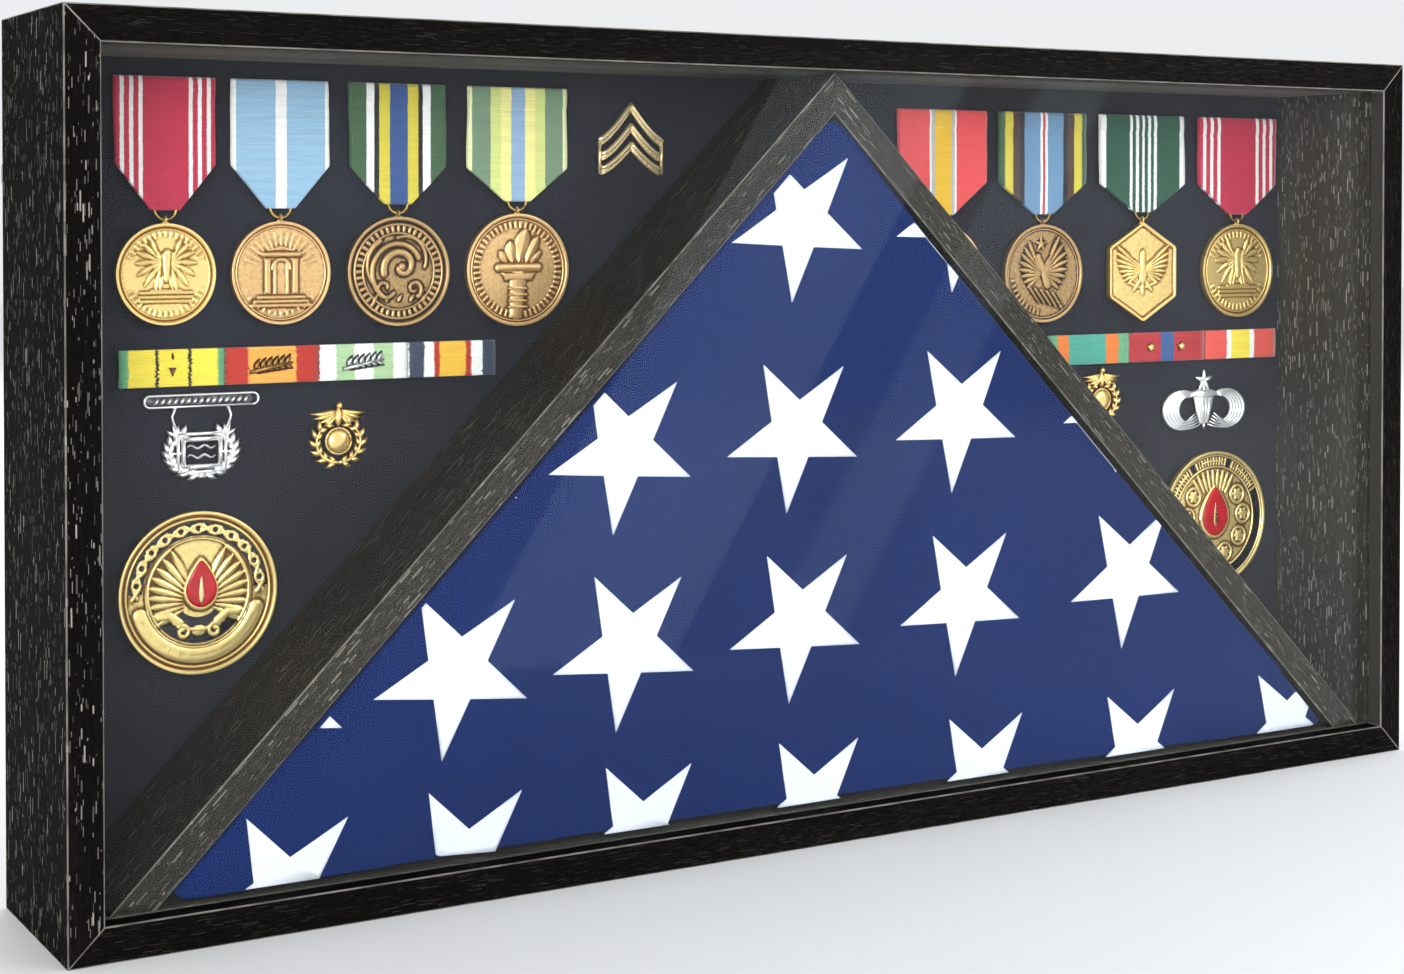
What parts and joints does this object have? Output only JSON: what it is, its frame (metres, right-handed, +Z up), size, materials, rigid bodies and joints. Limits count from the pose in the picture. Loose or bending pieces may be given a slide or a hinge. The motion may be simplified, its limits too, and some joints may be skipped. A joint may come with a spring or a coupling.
{
  "type": "folded flag display case",
  "caption": "Glass-fronted wooden case with a peaked compartment for a folded flag and side bays for medals on a lift-out pin board.",
  "frame": {"origin": "middle of the underside of the frame, half way between its front and rear faces", "axes": "+Z up; +X to the right as seen from the front; the glass faces -Y and the back board +Y"},
  "size_m": [0.642, 0.088, 0.33],
  "materials": {
    "frame_wood_foil": "satin, fine open pores",
    "liner_wood_foil": "satin, fine open pores",
    "divider_wood_foil": "satin, fine open pores",
    "clear_glass": "clear, polished",
    "flag_cloth": "woven, navy with white stars",
    "back_board": "smooth hardboard, dark face",
    "pin_foam": "dense foam",
    "backing_cloth": "felt-like, dark slate",
    "zinc_plate": "zinc plated",
    "screw_steel": "bright steel",
    "ribbon_crimson": "ribbed silk, white stripes",
    "ribbon_light_blue": "ribbed silk, white stripes",
    "ribbon_green": "ribbed silk, blue, yellow and white stripes",
    "ribbon_sage": "ribbed silk, blue and yellow stripes",
    "ribbon_coral": "ribbed silk, yellow stripe",
    "ribbon_brown_blue": "ribbed silk, many stripes",
    "ribbon_dark_green": "ribbed silk, white stripes",
    "bright_gold": "polished",
    "bronze": "satin",
    "antique_bronze": "satin, dark in the recesses",
    "pin_brass": "plain",
    "ribbon_bar_left": "ribbed silk, striped panels",
    "ribbon_bar_right": "ribbed silk, striped panels",
    "silver": "polished, dark in the recesses",
    "coin_gold": "polished, red and black enamel",
    "sticky_pad": "soft"
  },
  "bodies": {
    "root": {"frame_top": "frame_wood_foil", "frame_bottom": "frame_wood_foil", "frame_left": "frame_wood_foil", "frame_right": "frame_wood_foil", "liner_top": "liner_wood_foil", "liner_bottom": "liner_wood_foil", "liner_left": "liner_wood_foil", "liner_right": "liner_wood_foil", "glass_pane": "clear_glass", "divider_left": "divider_wood_foil", "divider_right": "divider_wood_foil", "folded_flag": "flag_cloth", "turn_button_screws": "screw_steel", "hanger_plate_left": "zinc_plate", "hanger_plate_right": "zinc_plate", "hanger_screws": "screw_steel", "corner_nails": "screw_steel"},
    "back_assembly": {"back_panel": "back_board", "pin_board": "pin_foam", "backing_cloth": "backing_cloth", "medal_rings": "bronze", "medal_brooches": "pin_brass", "ribbon_bar_left": "ribbon_bar_left", "ribbon_bar_right": "ribbon_bar_right", "ribbon_bar_carriers": "pin_brass", "chevron_pin": "bright_gold", "service_badge": "silver", "laurel_emblem_left": "bright_gold", "laurel_emblem_right": "bright_gold", "wing_badge": "silver", "coin_left": "coin_gold", "coin_right": "coin_gold", "coin_pads": "sticky_pad", "medal_1_ribbon": "ribbon_crimson", "medal_2_ribbon": "ribbon_light_blue", "medal_3_ribbon": "ribbon_green", "medal_4_ribbon": "ribbon_sage", "medal_5_ribbon": "ribbon_coral", "medal_6_ribbon": "ribbon_brown_blue", "medal_7_ribbon": "ribbon_dark_green", "medal_8_ribbon": "ribbon_crimson"},
    "turn_button_1": {"turn_button_1": "zinc_plate"},
    "turn_button_2": {"turn_button_2": "zinc_plate"},
    "turn_button_3": {"turn_button_3": "zinc_plate"},
    "turn_button_4": {"turn_button_4": "zinc_plate"},
    "turn_button_5": {"turn_button_5": "zinc_plate"},
    "turn_button_6": {"turn_button_6": "zinc_plate"},
    "hanger_ring_left": {"hanger_ring_left": "zinc_plate"},
    "hanger_ring_right": {"hanger_ring_right": "zinc_plate"},
    "medal_1_pendant": {"medal_1_pendant": "bright_gold"},
    "medal_2_pendant": {"medal_2_pendant": "bronze"},
    "medal_3_pendant": {"medal_3_pendant": "antique_bronze"},
    "medal_4_pendant": {"medal_4_pendant": "bronze"},
    "medal_5_pendant": {"medal_5_pendant": "bronze"},
    "medal_6_pendant": {"medal_6_pendant": "antique_bronze"},
    "medal_7_pendant": {"medal_7_pendant": "bright_gold"},
    "medal_8_pendant": {"medal_8_pendant": "bright_gold"}
  },
  "joints": [
    {"name": "back_assembly_lift_out", "type": "slide", "parent": "root", "child": "back_assembly", "axis": [0, 1, 0], "range_m": [0, 0.12]},
    {"name": "turn_button_1_turn", "type": "hinge", "parent": "root", "child": "turn_button_1", "pos_m": [-0.16, 0.0427, 0.325], "axis": [0, 1, 0], "range_deg": [0, 90]},
    {"name": "turn_button_2_turn", "type": "hinge", "parent": "root", "child": "turn_button_2", "pos_m": [0.16, 0.0427, 0.325], "axis": [0, 1, 0], "range_deg": [0, 90]},
    {"name": "turn_button_3_turn", "type": "hinge", "parent": "root", "child": "turn_button_3", "pos_m": [-0.16, 0.0427, 0.005], "axis": [0, -1, 0], "range_deg": [0, 90]},
    {"name": "turn_button_4_turn", "type": "hinge", "parent": "root", "child": "turn_button_4", "pos_m": [0.16, 0.0427, 0.005], "axis": [0, -1, 0], "range_deg": [0, 90]},
    {"name": "turn_button_5_turn", "type": "hinge", "parent": "root", "child": "turn_button_5", "pos_m": [-0.316, 0.0427, 0.165], "axis": [0, -1, 0], "range_deg": [0, 90]},
    {"name": "turn_button_6_turn", "type": "hinge", "parent": "root", "child": "turn_button_6", "pos_m": [0.316, 0.0427, 0.165], "axis": [0, 1, 0], "range_deg": [0, 90]},
    {"name": "hanger_ring_left_swing", "type": "hinge", "parent": "root", "child": "hanger_ring_left", "pos_m": [-0.316, 0.04405, 0.276], "axis": [1, 0, 0], "range_deg": [0, 180]},
    {"name": "hanger_ring_right_swing", "type": "hinge", "parent": "root", "child": "hanger_ring_right", "pos_m": [0.316, 0.04405, 0.276], "axis": [1, 0, 0], "range_deg": [0, 180]},
    {"name": "medal_1_pendant_swing", "type": "hinge", "parent": "back_assembly", "child": "medal_1_pendant", "pos_m": [-0.2645, 0.0266, 0.26025], "axis": [0, 1, 0], "range_deg": [-6, 6]},
    {"name": "medal_2_pendant_swing", "type": "hinge", "parent": "back_assembly", "child": "medal_2_pendant", "pos_m": [-0.219, 0.0266, 0.261], "axis": [0, 1, 0], "range_deg": [-6, 6]},
    {"name": "medal_3_pendant_swing", "type": "hinge", "parent": "back_assembly", "child": "medal_3_pendant", "pos_m": [-0.17, 0.0266, 0.26275], "axis": [0, 1, 0], "range_deg": [-6, 6]},
    {"name": "medal_4_pendant_swing", "type": "hinge", "parent": "back_assembly", "child": "medal_4_pendant", "pos_m": [-0.1175, 0.0266, 0.264], "axis": [0, 1, 0], "range_deg": [-6, 6]},
    {"name": "medal_5_pendant_swing", "type": "hinge", "parent": "back_assembly", "child": "medal_5_pendant", "pos_m": [0.0975, 0.0266, 0.2585], "axis": [0, 1, 0], "range_deg": [-6, 6]},
    {"name": "medal_6_pendant_swing", "type": "hinge", "parent": "back_assembly", "child": "medal_6_pendant", "pos_m": [0.156, 0.0266, 0.259], "axis": [0, 1, 0], "range_deg": [-6, 6]},
    {"name": "medal_7_pendant_swing", "type": "hinge", "parent": "back_assembly", "child": "medal_7_pendant", "pos_m": [0.217, 0.0266, 0.26], "axis": [0, 1, 0], "range_deg": [-6, 6]},
    {"name": "medal_8_pendant_swing", "type": "hinge", "parent": "back_assembly", "child": "medal_8_pendant", "pos_m": [0.2785, 0.0266, 0.259], "axis": [0, 1, 0], "range_deg": [-6, 6]}
  ]
}
